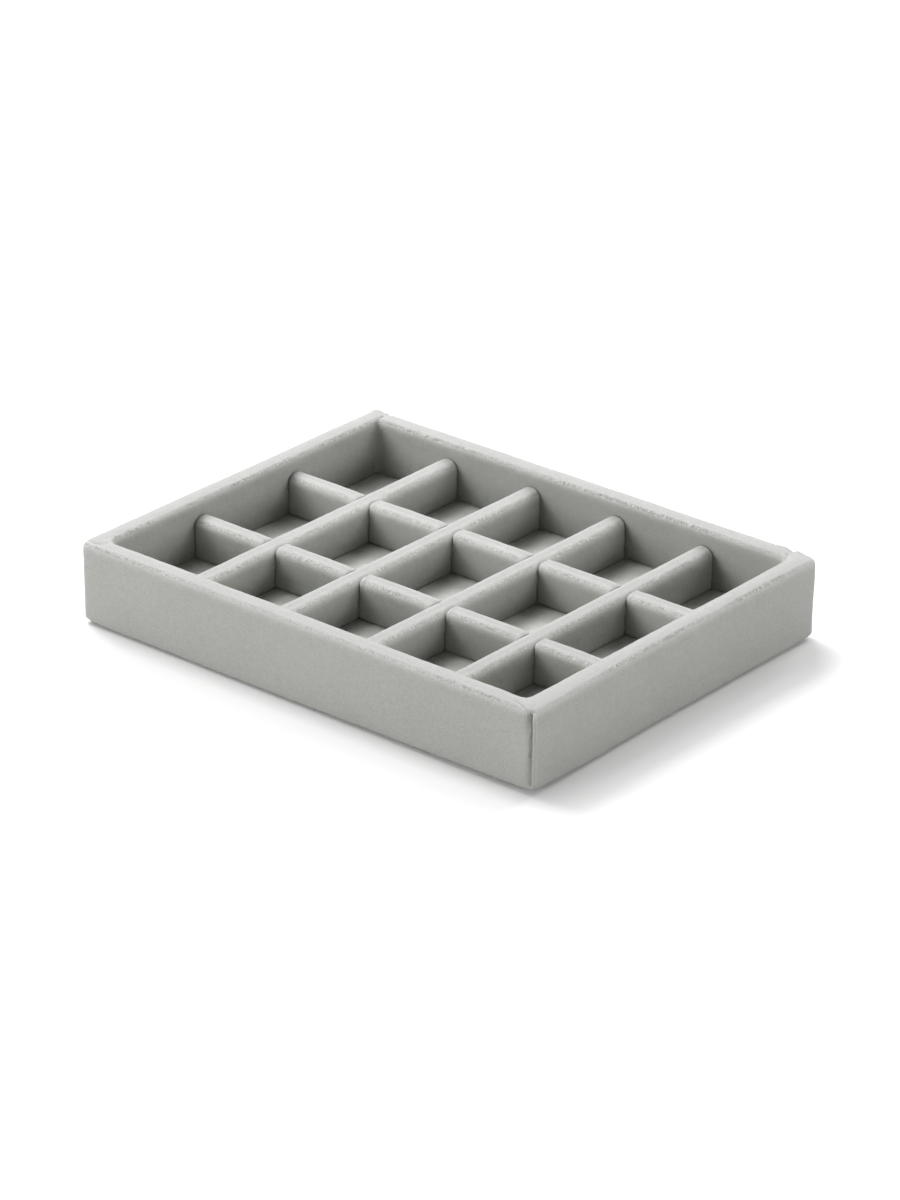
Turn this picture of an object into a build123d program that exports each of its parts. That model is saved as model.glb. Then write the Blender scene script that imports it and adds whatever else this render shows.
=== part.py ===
from build123d import *
import os

# Velour compartment tray: a shallow open tray of boards wrapped in velour, with two long and
# four cross dividers slotted together egg-crate fashion, so that it has fifteen cells.
# Frame: X along the long walls, Y from front to back, Z up. The origin is the centre of the
# underside. All sizes are millimetres.

# Overall sizes, over the velour
tray_length = 155.0
tray_width = 119.2
tray_height = 24.0
divider_top = 19.3
columns = 5
rows = 3

# Boards, foam and cloth
velour = 0.9
wall_board = 4.2
divider_board = 4.2
base_board_thick = 3.0
pad_thick = 2.2
cover_thick = 0.5
board_ease = 1.3
divider_ease = 1.8
base_edge_ease = 0.6

# Margins and clearances
hem_reach = 9.0
cover_inset = 3.0
corner_gather = 1.0
seam_width = 0.25
divider_end_gap = 0.12
divider_end_ease = 0.5
slot_gap = 0.06
pad_gap = 0.1

# Levels above the table
hem_bottom = cover_thick
base_bottom = hem_bottom + velour
base_top = base_bottom + base_board_thick
pad_top = base_top + pad_thick
floor_top = pad_top + velour
wall_board_top = tray_height - velour
lap_level = (floor_top + divider_top) / 2

# Sizes in plan
wall_thick = wall_board + 2 * velour
divider_thick = divider_board + 2 * velour
core_length = tray_length - 2 * velour
core_width = tray_width - 2 * velour
inner_length = tray_length - 2 * wall_thick
inner_width = tray_width - 2 * wall_thick
hem_length = tray_length - 2 * hem_reach
hem_width = tray_width - 2 * hem_reach
column_pitch = (inner_length + divider_thick) / columns
row_pitch = (inner_width + divider_thick) / rows
cross_lines = [column_pitch * (number + 1 - columns / 2) for number in range(columns - 1)]
long_lines = [row_pitch * (rows / 2 - 1 - number) for number in range(rows - 1)]
long_bar = inner_length - 2 * divider_end_gap
cross_bar = inner_width - 2 * divider_end_gap
slot_width = divider_thick + 2 * slot_gap
cloth_round = board_ease + velour
divider_round = divider_ease + velour

os.makedirs("parts", exist_ok=True)


def finish(part, name):
    """Label a finished piece and write it to its own file."""
    part.label = name
    export_step(part, f"parts/{name}.step")


def upright_edges(part, half_length):
    """The vertical edges that stand half_length to the left or right of the middle."""
    return part.edges().filter_by(Axis.Z).filter_by(
        lambda edge: abs(abs(edge.center().X) - half_length) < velour / 2)


def crowned_bar(stand, length, thick, height, soften, amount, end_ease=None):
    """A straight bar on the plane stand. soften is fillet or chamfer, for its long top edges.

    With end_ease the outline of both ends is chamfered too, all but the edge that it stands on.
    """
    with BuildPart() as bar:
        with BuildSketch(stand):
            Rectangle(length, thick)
        extrude(amount=height)
        top = bar.faces().sort_by(Axis.Z)[-1]
        soften(top.edges().sort_by(SortBy.LENGTH)[-2:], amount)
        if end_ease:
            outline = bar.faces().filter_by(Axis(stand.origin, stand.x_dir)).edges()
            chamfer(outline.filter_by(lambda edge: edge.center().Z > stand.origin.Z), end_ease)
    return bar.part


# Base board: carries the walls and the floor, its lower edge eased for the cloth
with BuildPart() as base_board:
    with BuildSketch(Plane.XY.offset(base_bottom)):
        Rectangle(core_length, core_width)
    extrude(amount=base_board_thick)
    chamfer(base_board.edges().filter_by(Axis.Z), board_ease)
    chamfer(base_board.faces().sort_by(Axis.Z)[0].edges(), base_edge_ease)
finish(base_board.part, "base_board")

# Wall boards: the side boards run the full width, the front and back boards fit between them.
# Their corners and upper edges are eased, so that the cloth goes over them in a round crown.
board_height = wall_board_top - base_top

with BuildPart() as wall_core:
    with BuildSketch(Plane.XY.offset(base_top)):
        Rectangle(core_length, core_width)
        Rectangle(core_length - 2 * wall_board, core_width - 2 * wall_board, mode=Mode.SUBTRACT)
    extrude(amount=board_height)
    chamfer(upright_edges(wall_core, core_length / 2), board_ease)
    chamfer(wall_core.edges().group_by(Axis.Z)[-1], board_ease)

side_offset = (core_length - wall_board) / 2
face_offset = (core_width - wall_board) / 2

for name, side in (("left_wall_board", -1), ("right_wall_board", 1)):
    with BuildPart() as side_board:
        add(wall_core.part)
        with BuildSketch(Plane.XY.offset(base_top)):
            with Locations((side * side_offset, 0)):
                Rectangle(wall_board, core_width)
        extrude(amount=board_height, mode=Mode.INTERSECT)
    finish(side_board.part, name)

for name, side in (("front_wall_board", -1), ("back_wall_board", 1)):
    with BuildPart() as face_board:
        add(wall_core.part)
        with BuildSketch(Plane.XY.offset(base_top)):
            with Locations((0, side * face_offset)):
                Rectangle(core_length - 2 * wall_board, wall_board)
        extrude(amount=board_height, mode=Mode.INTERSECT)
    finish(face_board.part, name)

# Wall velour: one strip, turned under the base, up the outside, over the crown of the boards
# and down the inside to the base board. Its ends meet in an upright seam on the front face,
# one thickness of cloth from the right-hand corner. At the four corners the flap that goes
# over the crown is cut, straight at the back and on the mitre at the front.
inner_x = inner_length / 2
inner_y = inner_width / 2
seam_x = core_length / 2
mitre_reach = (wall_thick - cloth_round) * 2 ** 0.5

with BuildPart() as wall_velour:
    with BuildSketch(Plane.XY.offset(hem_bottom)):
        Rectangle(tray_length, tray_width)
        Rectangle(hem_length, hem_width, mode=Mode.SUBTRACT)
    extrude(amount=velour)
    with BuildSketch(Plane.XY.offset(base_bottom)):
        Rectangle(tray_length, tray_width)
        Rectangle(inner_length, inner_width, mode=Mode.SUBTRACT)
    extrude(amount=tray_height - base_bottom)
    fillet(upright_edges(wall_velour, tray_length / 2), cloth_round)
    fillet(upright_edges(wall_velour, inner_x), corner_gather)
    fillet(wall_velour.edges().group_by(Axis.Z)[-1], cloth_round)
    foot = wall_velour.faces().sort_by(Axis.Z)[0]
    fillet(foot.outer_wire().edges(), base_edge_ease + velour)
    add(wall_core.part, mode=Mode.SUBTRACT)
    add(base_board.part, mode=Mode.SUBTRACT)

    # The upright seam, through the cloth of the front face
    with BuildSketch(Plane.XY.offset(hem_bottom)):
        with Locations((seam_x - seam_width / 2, -tray_width / 2)):
            Rectangle(seam_width, 2 * velour + seam_width)
    extrude(amount=tray_height, mode=Mode.SUBTRACT)

    # The cuts over the crown, from each inner corner outwards
    with BuildSketch(Plane.XY.offset(base_top)):
        with Locations((-inner_x - seam_width / 2, inner_y), (inner_x + seam_width / 2, inner_y)):
            Rectangle(seam_width, wall_thick - cloth_round, align=(Align.CENTER, Align.MIN))
        with Locations(Location((-inner_x, -inner_y), -135), Location((inner_x, -inner_y), -45)):
            Rectangle(mitre_reach, seam_width, align=(Align.MIN, Align.CENTER))
    extrude(amount=tray_height, mode=Mode.SUBTRACT)
finish(wall_velour.part, "wall_velour")

# Bottom cover: a thin sheet glued over the turned hem, which steps up inside it
with BuildPart() as bottom_cover:
    with BuildSketch():
        RectangleRounded(tray_length - 2 * cover_inset, tray_width - 2 * cover_inset, board_ease)
    extrude(amount=cover_thick)
    with BuildSketch(Plane.XY.offset(cover_thick)):
        Rectangle(hem_length, hem_width)
    extrude(amount=velour)
    with BuildSketch():
        Rectangle(hem_length - 2 * cover_thick, hem_width - 2 * cover_thick)
    extrude(amount=velour, mode=Mode.SUBTRACT)
finish(bottom_cover.part, "bottom_cover")

# Floor: a foam pad on the base board, and one sheet of velour over it
floor_length = inner_length - 2 * pad_gap
floor_width = inner_width - 2 * pad_gap

with BuildPart() as floor_pad:
    with BuildSketch(Plane.XY.offset(base_top)):
        RectangleRounded(floor_length, floor_width, corner_gather)
    extrude(amount=pad_thick)
finish(floor_pad.part, "floor_pad")

with BuildPart() as floor_velour:
    with BuildSketch(Plane.XY.offset(pad_top)):
        RectangleRounded(floor_length, floor_width, corner_gather)
    extrude(amount=velour)
finish(floor_velour.part, "floor_velour")

# Dividers: each is a board in a velour sleeve that is open at the bottom. The long ones are
# slotted from above and the cross ones from below, so that each crown of a cross divider runs
# unbroken over the long dividers. Between two slots the cloth of a long divider is folded over
# the ends of its board, which shows as a rim beside each crossing.
board_top = divider_top - velour


def stretches(length, slot):
    """The middle and the length of each stretch of a long divider, between slots this wide."""
    starts = [-length / 2] + [line + slot / 2 for line in cross_lines]
    ends = [line - slot / 2 for line in cross_lines] + [length / 2]
    return [((start + end) / 2, end - start) for start, end in zip(starts, ends)]


for number, line in enumerate(long_lines, start=1):
    foot = Plane(origin=(0, line, floor_top))
    lap_height = lap_level - floor_top

    with BuildPart() as long_divider_board:
        with BuildSketch(foot):
            Rectangle(long_bar - 2 * velour, divider_board)
        extrude(amount=lap_height)
        for middle, span in stretches(long_bar - 2 * velour, slot_width + 2 * velour):
            add(crowned_bar(Plane(origin=(middle, line, lap_level)), span, divider_board,
                            board_top - lap_level, chamfer, divider_ease))
    finish(long_divider_board.part, f"long_divider_board_{number}")

    with BuildPart() as long_divider_velour:
        with BuildSketch(foot):
            RectangleRounded(long_bar, divider_thick, divider_end_ease)
        extrude(amount=lap_height)
        for middle, span in stretches(long_bar, slot_width):
            add(crowned_bar(Plane(origin=(middle, line, lap_level)), span, divider_thick,
                            divider_top - lap_level, fillet, divider_round, divider_end_ease))
        add(long_divider_board.part, mode=Mode.SUBTRACT)
    finish(long_divider_velour.part, f"long_divider_velour_{number}")

for number, line in enumerate(cross_lines, start=1):
    stand = Plane(origin=(line, 0, floor_top), x_dir=(0, 1, 0))
    whole_board = crowned_bar(stand, cross_bar - 2 * velour, divider_board,
                              board_top - floor_top, chamfer, divider_ease)
    whole_sleeve = crowned_bar(stand, cross_bar, divider_thick, divider_top - floor_top,
                               fillet, divider_round, divider_end_ease)
    slots = [(line, y, lap_level) for y in long_lines]

    with BuildPart() as cross_divider_board:
        add(whole_board)
        with Locations(*slots):
            Box(tray_length / columns, slot_width, tray_height,
                align=(Align.CENTER, Align.CENTER, Align.MAX), mode=Mode.SUBTRACT)
    finish(cross_divider_board.part, f"cross_divider_board_{number}")

    with BuildPart() as cross_divider_velour:
        add(whole_sleeve)
        add(whole_board, mode=Mode.SUBTRACT)
        with Locations(*slots):
            Box(tray_length / columns, slot_width, tray_height,
                align=(Align.CENTER, Align.CENTER, Align.MAX), mode=Mode.SUBTRACT)
    finish(cross_divider_velour.part, f"cross_divider_velour_{number}")
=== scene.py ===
import logging
import math
from dataclasses import dataclass, field
from enum import Enum
from typing import Callable, Iterable, Sequence

import bmesh
import bpy
import numpy as np
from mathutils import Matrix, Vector


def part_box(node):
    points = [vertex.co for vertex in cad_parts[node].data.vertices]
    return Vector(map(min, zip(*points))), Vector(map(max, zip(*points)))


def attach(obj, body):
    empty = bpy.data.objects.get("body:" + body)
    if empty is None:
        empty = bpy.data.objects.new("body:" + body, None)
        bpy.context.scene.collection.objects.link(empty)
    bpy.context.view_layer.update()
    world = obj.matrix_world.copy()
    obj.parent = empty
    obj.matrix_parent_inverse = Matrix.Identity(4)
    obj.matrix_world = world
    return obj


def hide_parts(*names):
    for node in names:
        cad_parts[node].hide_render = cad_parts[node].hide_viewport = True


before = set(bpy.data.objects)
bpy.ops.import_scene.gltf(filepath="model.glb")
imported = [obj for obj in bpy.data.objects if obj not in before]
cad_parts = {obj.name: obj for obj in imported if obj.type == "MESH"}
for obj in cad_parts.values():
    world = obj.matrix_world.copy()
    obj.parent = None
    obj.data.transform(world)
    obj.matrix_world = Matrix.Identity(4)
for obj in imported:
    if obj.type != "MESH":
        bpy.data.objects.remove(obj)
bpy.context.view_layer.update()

LOG = logging.getLogger("velour_tray")
MM = 0.001
MERGE = 0.01 * MM
PARALLEL = 0.999
LEAST_SHARE = 0.003

Shade = tuple[float, float, float]
TiltShading = Sequence[tuple[float, float]]
Patches = Iterable[tuple[float, float, float]]


class Across(Enum):
    """The three directions of the tray, as columns of a coordinate."""

    LENGTH = 0
    WIDTH = 1
    HEIGHT = 2

    @property
    def normal(self) -> list[float]:
        """The unit vector along this direction."""
        return [1.0 if column == self.value else 0.0 for column in range(3)]


class Pick(Enum):
    """What an edit-mode step selects."""

    CORNER = "VERT"
    EDGE = "EDGE"
    FACE = "FACE"


class Push(Enum):
    """The direction in which corners are moved."""

    RIGHT = "X"
    UP = "Z"
    OUT = "NORMAL"


class Brushing(Enum):
    """How much the pile of a piece of velour is combed upright."""

    EVEN = 0.0
    UPRIGHT = 1.0


class Held(Enum):
    """How a sheet is held on the tray."""

    LAID = "laid"
    FOLDED = "folded"
    STRETCHED = "stretched"


@dataclass(frozen=True)
class TrayLayout:
    """Sizes that the pieces share, in metres, read from the CAD nodes."""

    half_length: float
    half_width: float
    height: float
    velour: float
    inner_x: float
    inner_y: float
    hem_bottom: float
    base_top: float
    floor_top: float
    divider_top: float
    divider_thick: float
    long_reach: float
    cross_reach: float
    long_lines: tuple[float, ...]
    cross_lines: tuple[float, ...]

    @classmethod
    def from_nodes(cls) -> "TrayLayout":
        """Reads the layout from the boxes of the nodes.

        Returns:
            The layout.
        """
        wrap_low, wrap_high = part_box("wall_velour")
        side_low, side_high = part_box("left_wall_board")
        cloth = side_low.x - wrap_low.x
        crosses = [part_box(f"cross_divider_velour_{number}") for number in (1, 2, 3, 4)]
        longs = [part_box(f"long_divider_velour_{number}") for number in (1, 2)]
        return cls(
            half_length=wrap_high.x,
            half_width=wrap_high.y,
            height=wrap_high.z,
            velour=cloth,
            inner_x=-(side_high.x + cloth),
            inner_y=-(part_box("front_wall_board")[1].y + cloth),
            hem_bottom=wrap_low.z,
            base_top=side_low.z,
            floor_top=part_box("floor_velour")[1].z,
            divider_top=crosses[0][1].z,
            divider_thick=crosses[0][1].x - crosses[0][0].x,
            long_reach=longs[0][1].x,
            cross_reach=crosses[0][1].y,
            long_lines=tuple((low.y + high.y) / 2 for low, high in longs),
            cross_lines=tuple((low.x + high.x) / 2 for low, high in crosses),
        )

    @property
    def lap_level(self) -> float:
        """The height at which the long and cross dividers are slotted together."""
        return (self.floor_top + self.divider_top) / 2

    @property
    def half_divider(self) -> float:
        """Half the thickness of a divider."""
        return self.divider_thick / 2

    def from_crossings(self, places: np.ndarray) -> tuple[np.ndarray, np.ndarray]:
        """How far places are from the nearest cross and long divider.

        Args:
            places: one place in each row.

        Returns:
            The gap along the tray's length, and the gap along its width.
        """
        gaps = [np.min([np.abs(places[:, column] - line) for line in lines], axis=0)
                for column, lines in enumerate((self.cross_lines, self.long_lines))]
        return gaps[0] - self.half_divider, gaps[1] - self.half_divider


class Bench:
    """One mesh on the bench, open for edit-mode operators on parts that are picked by place."""

    def __init__(self, obj: bpy.types.Object) -> None:
        """Takes the mesh object to work on."""
        self.obj = obj

    def __enter__(self) -> "Bench":
        """Opens the mesh in edit mode with nothing selected."""
        make_active(self.obj)
        bpy.ops.object.mode_set(mode="EDIT")
        bpy.ops.mesh.select_all(action="DESELECT")
        return self

    def __exit__(self, *problem: object) -> None:
        """Closes the mesh."""
        bpy.ops.object.mode_set(mode="OBJECT")

    def pick(self, kind: Pick, test: Callable[[object], bool]) -> int:
        """Selects the parts that pass the test, and nothing else.

        Args:
            kind: corners, edges or faces.
            test: takes one part of the open mesh.

        Returns:
            How many parts are selected.
        """
        bpy.ops.mesh.select_mode(type=kind.value)
        bpy.ops.mesh.select_all(action="DESELECT")
        mesh = bmesh.from_edit_mesh(self.obj.data)
        parts = {Pick.CORNER: mesh.verts, Pick.EDGE: mesh.edges, Pick.FACE: mesh.faces}[kind]
        chosen = [part for part in parts if test(part)]
        for part in chosen:
            part.select_set(True)
        bmesh.update_edit_mesh(self.obj.data)
        return len(chosen)

    def remove(self, test: Callable[[object], bool]) -> None:
        """Deletes the faces that pass the test."""
        self.pick(Pick.FACE, test)
        bpy.ops.mesh.delete(type="FACE")

    def draw_out(self, height: float) -> None:
        """Extrudes the selected faces upwards, or downwards where the height is below 0."""
        bpy.ops.mesh.extrude_region_move(TRANSFORM_OT_translate={"value": (0, 0, height)})

    def cut(self, across: Across, *levels: float) -> None:
        """Cuts the whole mesh along planes.

        Args:
            across: the direction that the planes stand across.
            levels: where the planes stand.
        """
        for level in levels:
            bpy.ops.mesh.select_all(action="SELECT")
            bpy.ops.mesh.bisect(plane_co=[level * part for part in across.normal],
                                plane_no=across.normal)

    def weigh(self, test: Callable[[object], float]) -> None:
        """Gives each edge its share of the bevel.

        Args:
            test: takes an edge and returns its share, 0 for a sharp one.
        """
        mesh = bmesh.from_edit_mesh(self.obj.data)
        layer = mesh.edges.layers.float.new("bevel_weight_edge")
        for edge in mesh.edges:
            edge[layer] = test(edge)
        bmesh.update_edit_mesh(self.obj.data)

    def divide(self, across: Across, longer: float, pitch: float) -> None:
        """Divides the long edges along one direction into even steps.

        Args:
            across: the direction that the edges run in.
            longer: edges up to this length stay whole.
            pitch: the length of a step.
        """
        def cuts(edge: object) -> int:
            """How many cuts an edge gets."""
            if edge.calc_length() <= longer or not runs(edge, across):
                return 0
            return max(round(edge.calc_length() / pitch) - 1, 0)

        mesh = bmesh.from_edit_mesh(self.obj.data)
        for count in sorted({cuts(edge) for edge in mesh.edges} - {0}):
            if self.pick(Pick.EDGE, lambda edge: cuts(edge) == count):
                bpy.ops.mesh.subdivide(number_cuts=count)

    def merge(self) -> None:
        """Merges doubled corners."""
        bpy.ops.mesh.select_all(action="SELECT")
        bpy.ops.mesh.remove_doubles(threshold=MERGE)

    def face_out(self) -> None:
        """Turns all faces outwards."""
        bpy.ops.mesh.select_all(action="SELECT")
        bpy.ops.mesh.normals_make_consistent(inside=False)


def place(part: object) -> Vector:
    """The middle of an edge or face."""
    return sum((corner.co for corner in part.verts), Vector()) / len(part.verts)


def near(value: float, *targets: float, slack: float = 0.02 * MM) -> bool:
    """Whether a value is at one of the targets."""
    return any(abs(value - target) < slack for target in targets)


def runs(edge: object, across: Across) -> bool:
    """Whether an edge runs along a direction."""
    run = edge.verts[1].co - edge.verts[0].co
    return abs(run[across.value]) > PARALLEL * run.length


def make_active(obj: bpy.types.Object) -> None:
    """Leaves this object alone selected and active."""
    bpy.ops.object.select_all(action="DESELECT")
    bpy.context.view_layer.objects.active = obj
    obj.select_set(True)


def add_block(name: str, low: Sequence[float], high: Sequence[float]) -> bpy.types.Object:
    """Adds a block between two corners, with its object at the origin.

    Args:
        name: the name of the piece.
        low: the lowest corner.
        high: the highest corner.

    Returns:
        The new object.
    """
    bpy.ops.object.select_all(action="DESELECT")
    bpy.ops.mesh.primitive_cube_add(
        size=1, location=[(a + b) / 2 for a, b in zip(low, high)],
        scale=[b - a for a, b in zip(low, high)])
    return own_place(name)


def own_place(name: str) -> bpy.types.Object:
    """Names the active object and moves its place into its mesh."""
    obj = bpy.context.object
    obj.name = name
    obj.data.name = name
    bpy.ops.object.transform_apply(location=True, rotation=True, scale=True)
    return obj


def apply_modifier(obj: bpy.types.Object, kind: str, **settings: object) -> None:
    """Adds a modifier and applies it at once.

    Args:
        obj: the piece.
        kind: the modifier's type.
        settings: its settings.
    """
    make_active(obj)
    modifier = obj.modifiers.new(kind.title(), kind)
    for name, value in settings.items():
        setattr(modifier, name, value)
    bpy.ops.object.modifier_apply(modifier=modifier.name)


def round_weighed(obj: bpy.types.Object, width: float) -> None:
    """Rounds the weighed edges, in four steps."""
    apply_modifier(obj, "BEVEL", width=width, segments=4, limit_method="WEIGHT",
                   affect="EDGES", use_clamp_overlap=False)


def copies(pattern: bpy.types.Object, kind: str,
           moves: Iterable[Sequence[float]]) -> list[bpy.types.Object]:
    """Copies a pattern piece, each copy with its own mesh, and removes the pattern.

    Args:
        pattern: the piece that is copied.
        kind: the start of the copies' names.
        moves: how far each copy is moved.

    Returns:
        The copies.
    """
    made = []
    for number, move in enumerate(moves, start=1):
        make_active(pattern)
        bpy.ops.object.duplicate(linked=False)
        bpy.context.object.location = move
        made.append(own_place(f"{kind}_{number}"))
    bpy.data.objects.remove(pattern, do_unlink=True)
    return made


def corners(obj: bpy.types.Object, what: str = "co") -> np.ndarray:
    """The places of all corners of a mesh, or their normals.

    Args:
        obj: the piece.
        what: "co" for places and "normal" for normals.

    Returns:
        One row for each corner.
    """
    values = np.empty(len(obj.data.vertices) * 3, np.float32)
    obj.data.vertices.foreach_get(what, values)
    return values.reshape(-1, 3).astype(float)


def smooth_step(values: np.ndarray, start: float, end: float) -> np.ndarray:
    """Rises smoothly from 0 at start to 1 at end."""
    share = np.clip((values - start) / (end - start), 0, 1)
    return share * share * (3 - 2 * share)


def paint_group(obj: bpy.types.Object, name: str, shares: np.ndarray) -> None:
    """Makes a vertex group from one share for each corner.

    Args:
        obj: the piece.
        name: the group's name.
        shares: from 0 to 1, one for each corner.
    """
    group = obj.vertex_groups.new(name=name)
    for index in np.flatnonzero(shares > LEAST_SHARE):
        group.add([int(index)], float(shares[index]), "REPLACE")


def group_shares(obj: bpy.types.Object, name: str) -> np.ndarray:
    """The share of each corner in a vertex group."""
    group = obj.vertex_groups[name].index
    return np.array([max([part.weight for part in corner.groups if part.group == group],
                         default=0.0) for corner in obj.data.vertices])


def paint_attribute(obj: bpy.types.Object, name: str, shares: np.ndarray) -> None:
    """Stores one number for each corner, for the material to read."""
    attribute = obj.data.attributes.new(name, "FLOAT", "POINT")
    attribute.data.foreach_set("value", shares.astype(np.float32))


def shift(obj: bpy.types.Object, push: Push, amount: float, shares: np.ndarray) -> None:
    """Moves the corners of a piece.

    Args:
        obj: the piece.
        push: the direction.
        amount: how far a corner with the share 1 is moved.
        shares: from 0 to 1, one for each corner.
    """
    paint_group(obj, "shift", shares)
    apply_modifier(obj, "DISPLACE", direction=push.value, strength=amount, mid_level=0.0,
                   vertex_group="shift")
    obj.vertex_groups.remove(obj.vertex_groups["shift"])


@dataclass(frozen=True)
class Relief:
    """An uneven surface, raised by procedural noise."""

    name: str
    grain: float
    height: float
    layers: int = 1

    def raise_on(self, obj: bpy.types.Object, group: str = "") -> None:
        """Moves the corners along their normals.

        Args:
            obj: the piece.
            group: the vertex group that limits it.
        """
        noise = bpy.data.textures.new(self.name, "CLOUDS")
        noise.noise_scale = self.grain
        noise.noise_depth = self.layers
        noise.noise_basis = "ORIGINAL_PERLIN"
        apply_modifier(obj, "DISPLACE", texture=noise, texture_coords="LOCAL",
                       strength=self.height, mid_level=0.5, vertex_group=group)


@dataclass(frozen=True)
class Crease:
    """A line that is pressed into the cloth, or a rib where its depths are below 0.

    Sizes are in millimetres.
    """

    path: tuple[tuple[float, float, float], ...]
    depths: tuple[float, float]
    half_width: float
    step: float = 0.5
    margin: float = 0.4

    def on_surface(self, obj: bpy.types.Object) -> "Crease":
        """The same crease, its path divided and brought onto the surface.

        Args:
            obj: the piece.

        Returns:
            The new crease.
        """
        points = []
        for start, end in zip(self.path, self.path[1:]):
            run = Vector(end) - Vector(start)
            count = max(math.ceil(run.length / self.step), 1)
            points += [Vector(start) + run * number / count for number in range(count)]
        points.append(Vector(self.path[-1]))
        landed = [obj.closest_point_on_mesh(point * MM)[1] / MM for point in points]
        return Crease(tuple(tuple(point) for point in landed), self.depths, self.half_width)

    def pressed(self, places: np.ndarray) -> np.ndarray:
        """How deep each corner is pressed, in metres.

        Args:
            places: the places of the corners.

        Returns:
            One depth for each corner.
        """
        gap, share = self.measure(places)
        depth = self.depths[0] + (self.depths[1] - self.depths[0]) * share
        falloff = np.clip(1 - (gap / (self.half_width * MM)) ** 2, 0, 1) ** 1.5
        return depth * MM * falloff

    def measure(self, places: np.ndarray) -> tuple[np.ndarray, np.ndarray]:
        """The distance to the line, and how far along it the nearest point is.

        Args:
            places: the places of the corners.

        Returns:
            Distances in metres, and shares of the line's length from 0 to 1.
        """
        points = np.array(self.path) * MM
        steps = np.maximum(np.linalg.norm(np.diff(points, axis=0), axis=1), 1e-9)
        starts = np.concatenate([[0.0], np.cumsum(steps)])
        best = np.full(len(places), np.inf)
        share = np.zeros(len(places))
        for number, step in enumerate(steps):
            run = (points[number + 1] - points[number]) / step
            along = np.clip((places - points[number]) @ run, 0, step)
            gap = np.linalg.norm(places - points[number] - along[:, None] * run, axis=1)
            closer = gap < best
            best[closer] = gap[closer]
            share[closer] = (starts[number] + along[closer]) / starts[-1]
        return best, share


def refine(obj: bpy.types.Object, fine: Callable[[bpy.types.Object], np.ndarray],
           finest: float) -> None:
    """Divides the mesh further, twice, where small folds and tufts go.

    Args:
        obj: the piece.
        fine: tells for each corner whether the mesh is divided there.
        finest: edges up to this length stay whole.
    """
    for _ in range(2):
        wanted = fine(obj)
        with Bench(obj) as bench:
            bench.pick(Pick.EDGE, lambda edge: edge.calc_length() > finest
                       and wanted[edge.verts[0].index] and wanted[edge.verts[1].index])
            bpy.ops.mesh.subdivide(number_cuts=1)


def press_creases(obj: bpy.types.Object, creases: Iterable[Crease], finest: float) -> None:
    """Divides the mesh beside the creases and presses them in.

    Args:
        obj: the piece.
        creases: the creases and ribs.
        finest: edges up to this length stay whole there.
    """
    creases = [crease.on_surface(obj) for crease in creases]

    def beside(piece: bpy.types.Object) -> np.ndarray:
        """Whether each corner is beside a crease."""
        places = corners(piece)
        return np.any([crease.measure(places)[0] < (crease.half_width + crease.margin) * MM
                       for crease in creases], axis=0)

    refine(obj, beside, finest)
    depth = sum(crease.pressed(corners(obj)) for crease in creases)
    for side in (1, -1):
        most = float(np.max(side * depth))
        if most > 0:
            shift(obj, Push.OUT, -side * most, np.clip(side * depth / most, 0, 1))


def thicken(obj: bpy.types.Object, thickness: float, keep: float) -> None:
    """Gives a sheet its thickness inwards and thins out the mesh of the hidden side.

    Args:
        obj: the sheet, its faces outward.
        thickness: its thickness.
        keep: the share of the hidden faces that stays.
    """
    obj.vertex_groups.new(name="hidden_side")
    apply_modifier(obj, "SOLIDIFY", thickness=thickness, offset=-1.0, use_even_offset=False,
                   use_quality_normals=True, shell_vertex_group="hidden_side")
    hidden = group_shares(obj, "hidden_side") > 0.5
    with Bench(obj) as bench:
        bench.pick(Pick.FACE, lambda face: all(hidden[corner.index] for corner in face.verts))
        bpy.ops.mesh.decimate(ratio=keep)
    obj.vertex_groups.clear()
    smooth(obj)


def smooth(obj: bpy.types.Object) -> None:
    """Shades the piece smoothly."""
    make_active(obj)
    bpy.ops.object.shade_smooth()


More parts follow.
